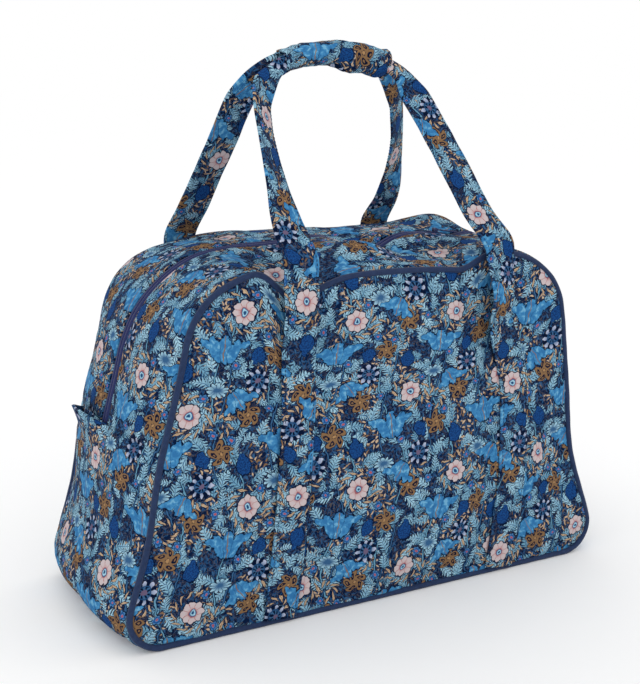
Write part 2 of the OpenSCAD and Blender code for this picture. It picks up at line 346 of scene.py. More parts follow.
def strap_piece(name, path, normals, half_widths, half_thicks, uv_shift, sides=24):
    """A flat strap with soft edges swept along a path; normals point out of its face."""
    normals, across = square_to(path, normals)
    angles = np.linspace(0, 2 * pi, sides, endpoint=False)
    cos, sin = np.cos(angles), np.sin(angles)
    wide = np.sign(cos) * np.abs(cos) ** 0.45
    thick = np.sign(sin) * np.abs(sin) ** 0.6
    points = (
        path[:, None]
        + across[:, None] * (half_widths[:, None, None] * wide[None, :, None])
        + normals[:, None] * (half_thicks[:, None, None] * thick[None, :, None])
    )
    distance = np.concatenate([[0], np.cumsum(np.linalg.norm(np.diff(path, axis=0), axis=1))])
    uvs = np.empty((len(path), sides + 1, 2))
    uvs[:, :sides, 0] = half_widths[:, None] * wide[None, :] + uv_shift[0]
    uvs[:, sides, 0] = uvs[:, 0, 0]
    uvs[:, :, 1] = distance[:, None] + uv_shift[1]
    return grid_piece(name, points, uvs, [printed], around=True, capped=True)


def cord_ring(name, path, radius, material, sides=10):
    """A round cord along a closed path, with a slight unevenness of its cloth cover."""
    tangents = unit(np.roll(path, -1, axis=0) - np.roll(path, 1, axis=0))
    side = unit(np.cross(tangents, [0.0, 1.0, 0.0]))
    other = np.cross(side, tangents)
    angles = np.linspace(0, 2 * pi, sides, endpoint=False)
    radii = radius * (1 + 0.03 * np.sin(np.arange(len(path)) * 0.9))
    points = path[:, None] + radii[:, None, None] * (
        side[:, None] * np.cos(angles)[None, :, None] + other[:, None] * np.sin(angles)[None, :, None]
    )
    points = np.vstack([points, points[:1]])
    uvs = np.empty((len(points), sides + 1, 2))
    uvs[..., 0] = np.linspace(0, 2 * pi * radius, sides + 1)[None]
    uvs[..., 1] = (np.arange(len(points)) * np.linalg.norm(path[1] - path[0]))[:, None]
    piece = grid_piece(name, points, uvs, [material], around=True)
    piece.modifiers.new("weld", "WELD").merge_threshold = 1e-6
    bake(piece)
    return piece


def stitch_piece(name, runs, normals, length=2.4 * mm, pitch=3.4 * mm, thick=0.34 * mm):
    """Rows of stitches: each is a small plump lozenge lying along its run."""
    vertices, faces = [], []
    for run, run_normals in zip(runs, normals):
        even = smooth_path(np.hstack([run, run_normals]), pitch)
        tangents = unit(np.gradient(even[:, :3], axis=0))
        for centre, out, tangent in zip(even[:, :3], unit(even[:, 3:]), tangents):
            side = unit(np.cross(tangent, out))
            first = len(vertices)
            vertices.append(centre - tangent * length / 2 - out * thick * 0.6)
            for at in (-0.28, 0.28):
                for a, b in ((1, 0), (0, 1), (-1, 0), (0, -1)):
                    vertices.append(centre + tangent * length * at + thick * (a * side + b * out))
            vertices.append(centre + tangent * length / 2 - out * thick * 0.6)
            for k in range(4):
                m = (k + 1) % 4
                faces.append([first, first + 1 + m, first + 1 + k])
                faces.append([first + 1 + k, first + 1 + m, first + 5 + m, first + 5 + k])
                faces.append([first + 5 + k, first + 5 + m, first + 9])
    loop_uvs = [(vertices[i][0], vertices[i][2]) for face in faces for i in face]
    return new_piece(name, vertices, faces, loop_uvs, [thread])

# ---- materials


def linear(red, green, blue):
    """A colour given in 0 to 255 as a colour picker shows it, as linear values."""
    channels = [c / 255 for c in (red, green, blue)]
    return [c / 12.92 if c <= 0.04045 else ((c + 0.055) / 1.055) ** 2.4 for c in channels]


def feed(tree, socket, value):
    """Sets a socket from a Number, another node's output, a colour or a plain value."""
    if isinstance(value, Number):
        tree.links.new(value.socket, socket)
    elif isinstance(value, bpy.types.NodeSocket):
        tree.links.new(value, socket)
    elif isinstance(value, list):
        socket.default_value = (*value, 1)
    else:
        socket.default_value = value


def add_node(tree, kind, settings=None, **inputs):
    """Adds a shader node, sets it up and feeds its named inputs."""
    node = tree.nodes.new("ShaderNode" + kind)
    for key, value in (settings or {}).items():
        setattr(node, key, value)
    for key, value in inputs.items():
        feed(tree, node.inputs[key], value)
    return node


class Number:
    """A number inside a material's node tree, so that a formula reads as arithmetic."""

    def __init__(self, tree, socket):
        self.tree = tree
        self.socket = socket

    def math(self, operation, *others, clamp=False):
        node = add_node(self.tree, "Math", {"operation": operation, "use_clamp": clamp})
        for slot, value in zip(node.inputs, (self, *others)):
            feed(self.tree, slot, value)
        return Number(self.tree, node.outputs[0])

    def __add__(self, other):
        return self.math("ADD", other)

    def __sub__(self, other):
        return self.math("SUBTRACT", other)

    def __rsub__(self, other):
        return self.math("MULTIPLY_ADD", -1.0, other)

    def __mul__(self, other):
        return self.math("MULTIPLY", other)

    def __truediv__(self, other):
        return self.math("DIVIDE", other)

    def nearest(self, step, shift=0.0):
        """How far the number is past the nearest multiple of step, after a shift counted in steps."""
        part = self / step + shift
        return (part - (part + 0.5).math("FLOOR")) * step

    def above(self, low, high):
        """0 at low, 1 at high and straight between."""
        return self.math("MULTIPLY_ADD", 1 / (high - low), -low / (high - low), clamp=True)

    def within(self, size, soft):
        """1 where the number's size is under size, fading over soft."""
        return self.math("ABSOLUTE").above(size + soft, size)


def blank_material(name):
    material = bpy.data.materials.new(name)
    material.use_nodes = True
    return material, material.node_tree, material.node_tree.nodes["Principled BSDF"]


def set_surface(tree, shader, colour, **numbers):
    """Feeds a shader's colour and sets its plain numbers."""
    feed(tree, shader.inputs["Base Color"], colour)
    for key, value in numbers.items():
        shader.inputs[key.replace("_", " ")].default_value = value


def first_two(tree, vector):
    split = add_node(tree, "SeparateXYZ", Vector=vector)
    return Number(tree, split.outputs[0]), Number(tree, split.outputs[1])


def cloth_place(tree):
    """The cloth's own coordinates, across and along in millimetres, and their socket in metres."""
    uv = add_node(tree, "UVMap", {"uv_map": "UVMap"}).outputs[0]
    u, v = first_two(tree, uv)
    return u * 1000, v * 1000, uv


def mixed(tree, first, second, amount):
    """One colour laid over another by an amount from 0 to 1."""
    mix = add_node(tree, "Mix", {"data_type": "RGBA"})
    for place, value in ((0, amount), (6, first), (7, second)):
        feed(tree, mix.inputs[place], value)
    return mix.outputs[2]


def add_bump(tree, shader, height, strength, distance):
    node = add_node(tree, "Bump", Height=height, Strength=strength, Distance=distance)
    feed(tree, shader.inputs["Normal"], node.outputs[0])


def noise_value(tree, settings=None, **inputs):
    return Number(tree, add_node(tree, "TexNoise", settings, **inputs).outputs["Fac"])


def crossed_threads(u, v, threads_per_m):
    """Crossed waves, one for each thread of a plain weave."""
    turns = 2 * pi * threads_per_m / 1000
    return (u * turns).math("SINE") * (v * turns).math("SINE")


def weave_bump(tree, shader, place, threads_per_m, strength):
    """A plain weave: crossed threads that stand out of the cloth by a fraction of a millimetre."""
    u, v, uv = place
    fuzz = noise_value(tree, Vector=uv, Scale=900.0, Detail=2.0)
    height = crossed_threads(u, v, threads_per_m) * 0.5 + fuzz * 1.2
    add_bump(tree, shader, height, strength, 0.25 * mm)


# The print: a half-drop repeat of flowers and leaves. Places and sizes are in millimetres of cloth.
REPEAT = 97.0
ROW = 79.0
FLAT_NOISE = {"noise_dimensions": "2D"}
INK = linear(3, 18, 46)
NAVY = linear(6, 27, 60)
DEEP_BLUE = linear(26, 74, 134)
MIDDLE_BLUE = linear(30, 70, 112)
SLATE = linear(54, 94, 134)
SKY = linear(70, 138, 186)
TEAL = linear(98, 148, 176)
PALE_BLUE = linear(160, 200, 218)
CREAM = linear(196, 170, 142)
TAN = linear(132, 102, 72)
BROWN = linear(78, 74, 78)
PINK = linear(196, 182, 184)
SALMON = linear(186, 144, 144)
LILAC = linear(176, 184, 208)


class Print:
    """Paints motifs one over another on a cloth."""

    def __init__(self, tree, u, v, colour):
        self.tree = tree
        self.u = u
        self.v = v
        self.colour = colour

    def paint(self, colour, mask):
        """Lays a colour, or another painted socket, over what is there."""
        self.colour = mixed(self.tree, self.colour, colour, mask)

    def ink(self, edge, far, near):
        """The dark line round a motif, from near to far outside its edge."""
        self.paint(INK, edge.above(-far, -near))

    def paint_blend(self, first, second, amount, mask):
        self.paint(mixed(self.tree, first, second, amount), mask)

    def place(self, at_x, at_y):
        """Coordinates centred on the nearest copy of a motif; every second row is mirrored."""
        row = ((self.v - at_y) / ROW + 0.5).math("FLOOR")
        y = self.v - row * ROW - at_y
        odd = row - (row * 0.5).math("FLOOR") * 2
        x = (self.u - at_x).nearest(REPEAT, odd * -0.5)
        return x * (1 - odd * 2), y

    def noise(self, scale, detail=1.0, shift=0.0):
        """Soft random values over the cloth; scale is in cycles per millimetre."""
        place = add_node(self.tree, "CombineXYZ", X=self.u + shift, Y=self.v - shift).outputs[0]
        return noise_value(self.tree, FLAT_NOISE, Vector=place, Scale=scale, Detail=detail)

    def scatter(self, cell, seed, length, width, teeth=0.0):
        """Leaves at random angles, one in each cell of a loose grid.

        Returns how far inside a leaf each point is, its vein's mask and a chance for its colour.
        """
        x, y = (self.u + seed) / cell, (self.v + seed * 1.7) / cell
        place = add_node(self.tree, "CombineXYZ", X=x, Y=y).outputs[0]
        cells = add_node(
            self.tree, "TexVoronoi", {"voronoi_dimensions": "2D", "feature": "F1"},
            Vector=place, Scale=1.0, Randomness=0.8,
        )
        centre_x, centre_y = first_two(self.tree, cells.outputs["Position"])
        dx, dy = (x - centre_x) * cell, (y - centre_y) * cell
        chance, other_chance = first_two(self.tree, cells.outputs["Color"])
        angle = chance * (2 * pi)
        cos, sin = angle.math("COSINE"), angle.math("SINE")
        leaf_x = dx * cos + dy * sin
        leaf_y = dy * cos - dx * sin + leaf_x * leaf_x * (0.35 / length)
        inside, vein = leaf_shape(leaf_x, leaf_y, length, width, teeth)
        return inside, vein, other_chance


def leaf_shape(x, y, length, width, teeth=0.0):
    """A leaf along x; teeth is the length of one side lobe, or 0 for a plain edge.

    Returns how far inside it each point is, and its veins' mask.
    """
    taper = 1 - (x / length) * (x / length)
    side = y.math("ABSOLUTE")
    if not teeth:
        return taper * width - side, side.within(0.10, 0.18) * taper.above(0.15, 0.4)
    part = (x - side * 0.75) / teeth
    lobe = (part * pi).math("SINE").math("ABSOLUTE")
    edge = taper * (lobe * lobe * 0.86 + 0.14) * width - side
    vein = side.within(0.14, 0.2).math("MAXIMUM", lobe.above(0.22, 0.08) * 0.5)
    return edge, vein * taper.above(0.05, 0.3)


def turned(x, y, degrees):
    cos, sin = math.cos(math.radians(degrees)), math.sin(math.radians(degrees))
    return x * cos + y * sin, y * cos - x * sin


def oval(x, y, centre_x, centre_y, half_x, half_y, degrees=0):
    """Above 0 inside an ellipse and 1 at its middle."""
    dx, dy = turned(x - centre_x, y - centre_y, degrees)
    dx, dy = dx * (1 / half_x), dy * (1 / half_y)
    return 1 - dx * dx - dy * dy


def polar(x, y):
    return (x * x + y * y).math("SQRT"), y.math("ARCTAN2", x)


def paint_ground(cloth):
    """Tendrils and small leaves that fill the ground between the flowers."""
    curl = cloth.noise(0.17)
    cloth.paint(MIDDLE_BLUE, (curl - 0.50).within(0.030, 0.016))
    curl = cloth.noise(0.26, shift=41.0)
    cloth.paint(BROWN, (curl - 0.47).within(0.012, 0.014))
    cloth.paint(BROWN, (curl - 0.60).within(0.008, 0.014))
    inside, _, chance = cloth.scatter(4.9, 11.0, 2.5, 0.85)
    cloth.paint_blend(MIDDLE_BLUE, SLATE, chance, inside.above(0, 0.25) * chance.above(0.38, 0.40))
    patch = cloth.noise(0.030, shift=9.0).above(0.51, 0.54)
    inside, _, chance = cloth.scatter(4.4, 29.0, 2.5, 0.85)
    cloth.paint_blend(CREAM, TAN, chance.above(0.5, 0.7), inside.above(0, 0.25) * patch)
    for cell, seed, length, width, teeth in ((11.0, 47.0, 6.4, 3.4, 2.2), (15.5, 83.0, 9.4, 5.0, 2.9)):
        inside, vein, chance = cloth.scatter(cell, seed, length, width, teeth)
        shown = chance.above(0.46, 0.48)
        leaf = inside.above(0, 0.3)
        cloth.paint(INK, inside.above(-0.7, -0.35) * shown)
        cloth.paint_blend(TEAL, PALE_BLUE, chance.above(0.45, 1.0), leaf * shown)
        cloth.paint(MIDDLE_BLUE, vein * leaf * shown)


def paint_stems(cloth):
    """Thin pale stems that wander up through the repeat."""
    for shift, sway, colour in ((0, 13.0, TEAL), (52, 9.0, SLATE)):
        wave = (cloth.v * (pi / ROW) + shift).math("SINE") * sway
        x = (cloth.u + wave + shift).nearest(REPEAT / 2)
        cloth.paint(INK, x.within(1.0, 0.3))
        cloth.paint(colour, x.within(0.42, 0.3))


def paint_fronds(cloth):
    """Curved, deeply cut leaves, each at its own place and angle in the repeat."""
    for at, degrees, length, width, teeth in (
        ((-19, 10), 68, 12.0, 5.6, 3.0), ((21, 8), 118, 11.0, 5.2, 2.8), ((6, 22), 28, 9.0, 4.4, 2.4),
        ((34, 25), 150, 11.5, 5.4, 2.9), ((-43, -2), 95, 10.5, 5.0, 2.7), ((-20, -26), 22, 11.0, 5.0, 2.8),
        ((12, -19), 140, 9.5, 4.6, 2.5), ((44, -26), 62, 11.0, 5.2, 2.9), ((-5, 38), 100, 9.0, 4.4, 2.4),
    ):
        x, y = turned(*cloth.place(*at), degrees)
        inside, vein = leaf_shape(x, y + x * x * (0.30 / length), length, width, teeth)
        leaf = inside.above(0, 0.3)
        cloth.ink(inside, 0.9, 0.5)
        cloth.paint_blend(TEAL, PALE_BLUE, (x / length).above(-0.9, 0.9), leaf)
        cloth.paint(MIDDLE_BLUE, vein * leaf)


def paint_sprays(cloth):
    """Cream leaflets in curved sprays round a centre: place, count, radius and turn of each spray."""
    slant, rise = 0.5, 0.86
    for at, count, radius, spin in (
        ((17, 28), 13, 15.5, 0), ((42, 18), 9, 8.5, 0.5), ((-24, 42), 8, 7.5, 0.2),
    ):
        distance, turn = polar(*cloth.place(*at))
        across = (turn + distance * 0.045).nearest(2 * pi / count, spin) * distance
        out = distance - radius
        inside, vein = leaf_shape(out * rise - across * slant, across * rise + out * slant, 3.4, 1.15)
        cloth.ink(inside, 0.6, 0.3)
        cloth.paint(CREAM, inside.above(0, 0.25))
        cloth.paint(TAN, vein)


def paint_scroll(cloth, at):
    """Five tan loops curled round one another."""
    loops, loop_radius = 5, 6.0
    distance, turn = polar(*cloth.place(*at))
    part = (turn + distance * 0.09).nearest(2 * pi / loops)
    across, out = part.math("SINE") * distance, part.math("COSINE") * distance - loop_radius
    ring = (across * across + out * out * 0.5).math("SQRT")
    cloth.paint(INK, ring.above(3.9, 3.5))
    cloth.paint(TAN, (ring - 2.5).within(0.55, 0.3))
    cloth.paint(TAN, ring.above(0.9, 0.6))
    cloth.paint(linear(166, 130, 90), distance.above(1.5, 1.1))


def paint_pod(cloth, at, degrees, size):
    """A deep blue, speckled pod."""
    x, y = turned(*cloth.place(*at), degrees)
    neck = oval(x, y, 0, size, size * 0.4, size * 0.6)
    body = oval(x, y, 0, 0, size, size * 1.2).math("MAXIMUM", neck)
    body = body + (cloth.noise(0.5) - 0.5) * 0.4
    speck = cloth.noise(0.9, shift=17.0)
    cloth.ink(body, 0.25, 0.12)
    cloth.paint_blend(DEEP_BLUE, linear(18, 48, 96), speck.above(0.45, 0.56), body.above(0, 0.08))


def paint_blossom(cloth, at):
    """A pale, frilled blossom seen from the side."""
    radius, frills = 9.6, 5.5
    x, y = cloth.place(*at)
    distance, turn = polar(x, y * 1.55)
    wave = (turn * frills).math("COSINE")
    edge = (wave.math("ABSOLUTE") * 0.42 + 0.58) * radius - distance
    whole = edge.above(0, 0.35)
    cloth.ink(edge, 1.1, 0.6)
    cloth.paint_blend(SLATE, PALE_BLUE, (distance / radius).above(0.25, 0.9), whole)
    cloth.paint(MIDDLE_BLUE, wave.within(0.16, 0.14) * distance.above(1.5, 3.0) * whole)


def paint_cornflower(cloth, at):
    """Narrow lilac petals round a mauve middle."""
    radius, petals = 9.6, 8
    distance, turn = polar(*cloth.place(*at))
    spokes = (turn * petals).math("COSINE").above(-0.1, 0.15)
    edge = (turn * (2 * petals)).math("COSINE") * 0.8 + radius - distance
    cloth.ink(edge, 0.8, 0.4)
    cloth.paint_blend(SLATE, LILAC, (distance / radius).above(0.45, 0.95), spokes * edge.above(0, 0.35))
    cloth.paint(MIDDLE_BLUE, (distance - 5.4).within(0.45, 0.3))
    cloth.paint(linear(104, 90, 116), distance.above(2.4, 1.9))


def paint_bloom(cloth, at, degrees, size):
    """A broad sky-blue bloom of five soft petals with ragged edges and a tan midrib."""
    x, y = turned(*cloth.place(*at), degrees)
    x, y = x / size, y / size
    middle = oval(x, y, 0, 1.5, 5.6, 11.5)
    sides = oval(x, y, -7.6, 0.5, 4.9, 10.8, 26).math("MAXIMUM", oval(x, y, 7.6, 0.5, 4.9, 10.8, -26))
    tips = oval(x, y, -15.5, 6.5, 2.9, 6.4, 58).math("MAXIMUM", oval(x, y, 15.0, 4.0, 2.9, 6.0, -72))
    ragged = (cloth.noise(0.42, 2.0, 5.0) - 0.5) * 0.9
    whole = middle.math("MAXIMUM", sides).math("MAXIMUM", tips) + ragged
    shade = cloth.noise(0.22, 3.0, 23.0)
    cloth.ink(whole, 0.26, 0.14)
    cloth.paint_blend(linear(50, 112, 164), SKY, shade.above(0.40, 0.58), whole.above(0, 0.1))
    cloth.paint(linear(110, 168, 202), shade.above(0.60, 0.64) * whole.above(0.25, 0.45))
    cloth.paint(MIDDLE_BLUE, (middle - sides).within(0.05, 0.05) * whole.above(0.02, 0.12))
    cloth.paint(TAN, x.within(0.30, 0.22) * middle.above(0.05, 0.2))


def paint_floret(cloth, at):
    """A small blue filler flower of six round petals."""
    distance, turn = polar(*cloth.place(*at))
    edge = (turn * 3).math("COSINE").math("ABSOLUTE") * 1.4 + 2.5 - distance
    cloth.ink(edge, 0.7, 0.3)
    cloth.paint(linear(72, 122, 172), edge.above(0, 0.3))
    cloth.paint(DEEP_BLUE, (distance - 2.0).within(0.3, 0.25))
    cloth.paint(linear(168, 82, 90), distance.above(1.15, 0.85))


def paint_pink_flower(cloth, at):
    """Eight pale petals round a slate middle, salmon where they meet."""
    radius = 8.4
    distance, turn = polar(*cloth.place(*at))
    petal = (turn * 4).math("COSINE").math("ABSOLUTE")
    edge = petal * 1.6 + radius - distance
    cloth.ink(edge, 0.9, 0.5)
    cloth.paint_blend(SALMON, PINK, (distance / radius).above(0.36, 0.72), edge.above(0, 0.35))
    seams = petal.above(0.20, 0.08) * distance.above(3.0, 4.4) * edge.above(0.3, 0.9)
    cloth.paint(linear(170, 108, 104), seams)
    cloth.paint(linear(150, 90, 96), distance.above(4.0, 3.6))
    cloth.paint(SLATE, distance.above(3.3, 2.9))
    cloth.paint(PALE_BLUE, (distance - 1.9).within(0.35, 0.25))
    cloth.paint(MIDDLE_BLUE, distance.above(1.1, 0.8))


def print_material():
    """Cotton with the floral print, drawn with a slightly unsteady line, and a fine weave."""
    unsteady = 3.6
    material, tree, shader = blank_material("printed_cotton")
    u, v, uv = cloth_place(tree)
    wobble = add_node(tree, "TexNoise", FLAT_NOISE, Vector=uv, Scale=170.0, Detail=2.0)
    wobble_u, wobble_v = first_two(tree, wobble.outputs["Color"])
    cloth = Print(tree, u + (wobble_u - 0.5) * unsteady, v + (wobble_v - 0.5) * unsteady, NAVY)
    paint_ground(cloth)
    paint_stems(cloth)
    paint_fronds(cloth)
    paint_sprays(cloth)
    paint_scroll(cloth, (-31, 24))
    paint_scroll(cloth, (43, -4))
    paint_pod(cloth, (-34, -17), 12, 6.4)
    paint_pod(cloth, (27, -7), -150, 5.4)
    paint_blossom(cloth, (-8, -33))
    paint_cornflower(cloth, (26, -28))
    paint_bloom(cloth, (-1, -2), 8, 1.0)
    paint_bloom(cloth, (-40, 38), -150, 0.78)
    for at in ((-12, 27), (36, 11), (-46, 6), (8, -14), (-20, -38)):
        paint_floret(cloth, at)
    paint_pink_flower(cloth, (17, 28))
    set_surface(tree, shader, cloth.colour, Roughness=0.8, Specular_IOR_Level=0.04)
    weave_bump(tree, shader, (u, v, uv), 1700, 0.35)
    return material


def plain_cloth(name, colour, second, threads_per_m, roughness, sheen):
    """A plain woven cloth whose colour varies a little from thread to thread."""
    material, tree, shader = blank_material(name)
    u, v, uv = cloth_place(tree)
    slub = noise_value(tree, Vector=uv, Scale=260.0, Detail=4.0)
    ribs = crossed_threads(u, v, threads_per_m) * 0.25 + slub
    shade = mixed(tree, colour, second, ribs.above(0.3, 0.85))
    set_surface(tree, shader, shade, Roughness=roughness, Specular_IOR_Level=0.2, Sheen_Weight=sheen)
    weave_bump(tree, shader, (u, v, uv), threads_per_m, 0.6)
    return material


def object_surface(name, first, second, grain, shown, bump_sizes, **numbers):
    """For solids without their own coordinates: a second colour laid on by noise in the object's space.

    grain holds the noise's inputs; shown holds its two limits and how much of the colour it lays on.
    """
    material, tree, shader = blank_material(name)
    place = add_node(tree, "TexCoord").outputs["Object"]
    value = noise_value(tree, Vector=place, **grain)
    low, high, most = shown
    set_surface(tree, shader, mixed(tree, first, second, value.above(low, high) * most), **numbers)
    add_bump(tree, shader, value, *bump_sizes)
    return material


def object_cloth(name, first, second, scale, roughness):
    fibres = {"Scale": scale, "Detail": 5.0, "Roughness": 0.7}
    bump_sizes = (0.5, 0.6 * mm)
    return object_surface(name, first, second, fibres, (0.35, 0.7, 1.0), bump_sizes, Roughness=roughness)


printed = print_material()
piping_cloth = plain_cloth("piping_cotton", linear(22, 40, 74), linear(36, 56, 94), 900, 0.62, 0.06)
lining_cloth = plain_cloth("lining_cotton", linear(20, 34, 70), linear(30, 46, 88), 1400, 0.7, 0.1)
tape_cloth = plain_cloth("zip_tape", linear(20, 30, 80), linear(34, 46, 102), 1500, 0.55, 0.08)
thread = plain_cloth("thread", linear(18, 34, 66), linear(38, 58, 96), 2500, 0.5, 0.05)
board = object_cloth("base_board", linear(44, 46, 52), linear(66, 68, 74), 260.0, 0.8)
hook_tape = object_cloth("hook_tape", linear(16, 20, 40), linear(34, 42, 70), 900.0, 0.9)
zinc = object_surface(
    "painted_zinc", linear(34, 44, 92), linear(92, 102, 138), {"Scale": 700.0, "Detail": 4.0},
    (0.55, 0.72, 0.6), (0.15, 0.3 * mm), Metallic=0.55, Roughness=0.34, Coat_Weight=0.3,
)

# ---- cloth shells


def panel_net(inset, spacing):
    """A loose triangle net that fills the outline, as x and z, and its rim's points."""
    rim_t = np.linspace(-half_loop, half_loop, round(2 * half_loop / spacing), endpoint=False)
    rim = np.stack(along(rim_t, inset)[:2], axis=1)
    generator = random.Random(7)
    jitter = 0.12 * spacing
    inside = []
    rows = round(body_h / (spacing * 0.87))
    for row in range(1, rows):
        z = row * body_h / rows
        level = np.abs(rim[:, 1] - z) < spacing
        reach = np.abs(rim[level, 0]).max(initial=0) - 0.8 * spacing
        for column in range(-60, 61):
            x = column * spacing + (row % 2) * spacing / 2
            if abs(x) < reach and np.hypot(rim[:, 0] - x, rim[:, 1] - z).min() > 0.7 * spacing:
                aside = generator.uniform(-jitter, jitter)
                upward = generator.uniform(-jitter, jitter)
                inside.append((x + aside, z + upward))
    places = [Vector(place) for place in [*rim.tolist(), *inside]]
    edges = [(i, (i + 1) % len(rim)) for i in range(len(rim))]
    flat, _, faces, _, _, _ = delaunay_2d_cdt(places, edges, [], 1, 1e-6)
    return np.array([tuple(place) for place in flat]), faces, rim


def cloth_panel(name, side, replaced):
    """One big panel inside the piping, crowned, and sewn all round and under its straps."""
    spacing = 4.2 * mm
    flat, faces, rim = panel_net(2.6 * mm, spacing)
    x, z = flat[:, 0], flat[:, 1]
    y = side * (half_d - piping_r + panel_bulge(x, z))
    points = settle(np.stack([x, y, z], axis=1))
    uv = flat if side < 0 else np.stack([-x + 0.031, z + 0.022], axis=1)
    faces = [list(face)[::-side] for face in faces]
    loop_uvs = [uv[i] for face in faces for i in face]
    piece = new_piece(name, points, faces, loop_uvs, [printed, lining_cloth])
    edge_gap = np.array([np.hypot(*(rim - place).T).min() for place in flat])
    under_strap = np.zeros(len(x), bool)
    for hand in (-1, 1):
        under_strap |= np.abs(x - strap_line(side, hand, z)) < strap_w / 2 + 1 * mm
    sewn = (edge_gap < 0.3 * spacing) | (under_strap & (z < STRAP_SEAM_TOP))
    sew(piece, np.flatnonzero(sewn), 2.0, 0.018, 5 * mm)
    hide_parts(*replaced)
    return piece


def gusset_piece(name, t_range, y_range):
    """A strip of gusset between two distances along the outline and two places across."""
    spacing = 4.0 * mm
    rows = max(2, round((t_range[1] - t_range[0]) / spacing))
    columns = max(2, round((y_range[1] - y_range[0]) / spacing))
    t = np.linspace(*t_range, rows + 1)
    y = np.linspace(*y_range[::-1], columns + 1)
    tuck = piping_r * ramp(np.abs(y), half_d - 8 * mm, half_d - 3 * mm)
    points = gusset_point(t[:, None], y[None, :], tuck[None, :])
    uvs = uv_grid(0.012 - y[None, :], 0.03 + t[:, None])
    piece = grid_piece(name, points, uvs, [printed, lining_cloth])
    sides = np.zeros(points.shape[:2], bool)
    sides[:, [0, -1]] = True
    sides[[0, -1]] = True
    sew(piece, np.flatnonzero(sides.ravel()), 1.5, 0.012, 4 * mm)
    return piece


# Stretches of the top, as distances along the outline.
MOUTH, LEFT_END, RIGHT_END = (-mouth_t, mouth_t), (-zip_end_t, -mouth_t), (mouth_t, zip_end_t)
gusset_edge = half_d - 3.6 * mm
zip_edge = 7.6 * mm
front_shell = cloth_panel("front_panel_cloth", -1, ["front_panel", "front_wadding", "front_lining"])
back_shell = cloth_panel("back_panel_cloth", 1, ["back_panel", "back_wadding", "back_lining"])

whole_width = (-gusset_edge, gusset_edge)
base_left = gusset_piece("base_gusset_cloth", (-half_loop, -zip_end_t), whole_width)
base_right = gusset_piece("base_gusset_cloth_right", (zip_end_t, half_loop), whole_width)

tops = {}
for side, word in SIDES:
    half_width = (-gusset_edge, -zip_edge) if side < 0 else (zip_edge, gusset_edge)
    tops[word] = {
        part: gusset_piece(f"{word}_{name}", t_range, half_width)
        for part, name, t_range in (
            ("mouth", "mouth_cloth", MOUTH), ("left", "top_cloth_left", LEFT_END),
            ("right", "top_cloth_right", RIGHT_END),
        )
    }

relax_cloths()

shells = (front_shell, back_shell, base_left, base_right)
thicknesses = [(piece, wall_t) for piece in shells]
thicknesses += [(piece, 2.4 * mm) for pieces in tops.values() for piece in pieces.values()]
for piece, thickness in thicknesses:
    thicken(piece, thickness, inner=1)

for piece in shells:
    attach(piece, "bag")
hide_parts("base_gusset", "base_wadding", "base_lining")
for side, word in SIDES:
    pieces = tops[word]
    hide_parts(f"{word}_mouth_flap", f"{word}_flap_lining")
    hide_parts(f"{word}_top_gusset", f"{word}_top_lining")
    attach(pieces["left"], "bag")
    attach(pieces["right"], "bag")
    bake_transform(pieces["mouth"])

# ---- piping

for side, word in SIDES:
    t = np.linspace(-half_loop, half_loop, 420, endpoint=False)
    x, z, _, _ = along(t, piping_r)
    path = settle(np.stack([x, np.full_like(x, side * (half_d - piping_r)), z], axis=1))
    piece = cord_ring(f"{word}_piping_cloth", path, piping_r, piping_cloth)
    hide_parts(f"{word}_piping")
    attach(piece, "bag")

# ---- zip


def zip_half(name, t_range, side):
    """One half of the zip: a rounded ridge over the coil, and its flat tape under the gusset's edge."""
    profile = [  # distance from the zip's middle and depth under the outline, in millimetres
        (0.5, 2.6), (0.5, 0.8), (1.1, 0.1), (2.2, -0.2), (3.6, 0.0), (4.6, 0.8), (5.4, 1.4), (7.0, 1.5),
        (11.0, 1.6), (15.0, 1.8), (15.0, 2.3), (11.0, 2.2), (4.2, 2.2), (3.3, 2.7), (2.0, 2.75),
    ]
    if side > 0:
        profile = profile[::-1]
    rows = round((t_range[1] - t_range[0]) / (2 * mm))
    t = np.linspace(*t_range, rows + 1)
    rings = [gusset_point(t, np.full_like(t, side * across * mm), depth * mm) for across, depth in profile]
    points = np.stack(rings, axis=1)
    uvs = np.empty((len(t), len(profile) + 1, 2))
    uvs[:, :, 0] = [across * mm for across, _ in profile + profile[:1]]
    uvs[:, :, 1] = t[:, None]
    piece = grid_piece(name, points, uvs, [tape_cloth], around=True, capped=True)
    return piece


for side, word in SIDES:
    piece = zip_half(f"{word}_zip_mouth", MOUTH, side)
    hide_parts(f"{word}_zip_tape", f"{word}_zip_coil")
    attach(piece, f"{word}_mouth")
    for part, t_range in (("left", LEFT_END), ("right", RIGHT_END)):
        piece = zip_half(f"{word}_zip_{part}", t_range, side)
        if part == "left":
            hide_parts(f"{word}_zip_tape_ends", f"{word}_zip_coil_ends")
        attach(piece, "bag")

# ---- handles

reach = Vector((0, fold_y - grip_y, grip_z - fold_z))
lean_in, lean_up = reach.y / reach.length, reach.z / reach.length
strap_mid = 2.1 * mm
# Each handle's legs in its own plane, front (-1) or back (1) and left (-1) or right (1):
# distance from the middle and length up from the fold, in millimetres.
LEGS = {
    (-1, 1): [
        (97, 30), (89, 65), (81, 98), (74, 124), (67, 146), (60, 162), (48, 172), (28, 179), (0, 182),
    ],
    (-1, -1): [
        (84, 30), (84, 65), (83, 98), (81, 124), (76, 145), (65, 160), (49, 172), (28, 179),
    ],
    (1, 1): [
        (109, 30), (105, 65), (98, 98), (90, 122), (81, 144), (67, 161), (50, 173), (28, 179), (0, 182),
    ],
    (1, -1): [
        (93, 30), (86, 65), (79, 98), (75, 122), (70, 144), (63, 161), (50, 173), (28, 179),
    ],
}
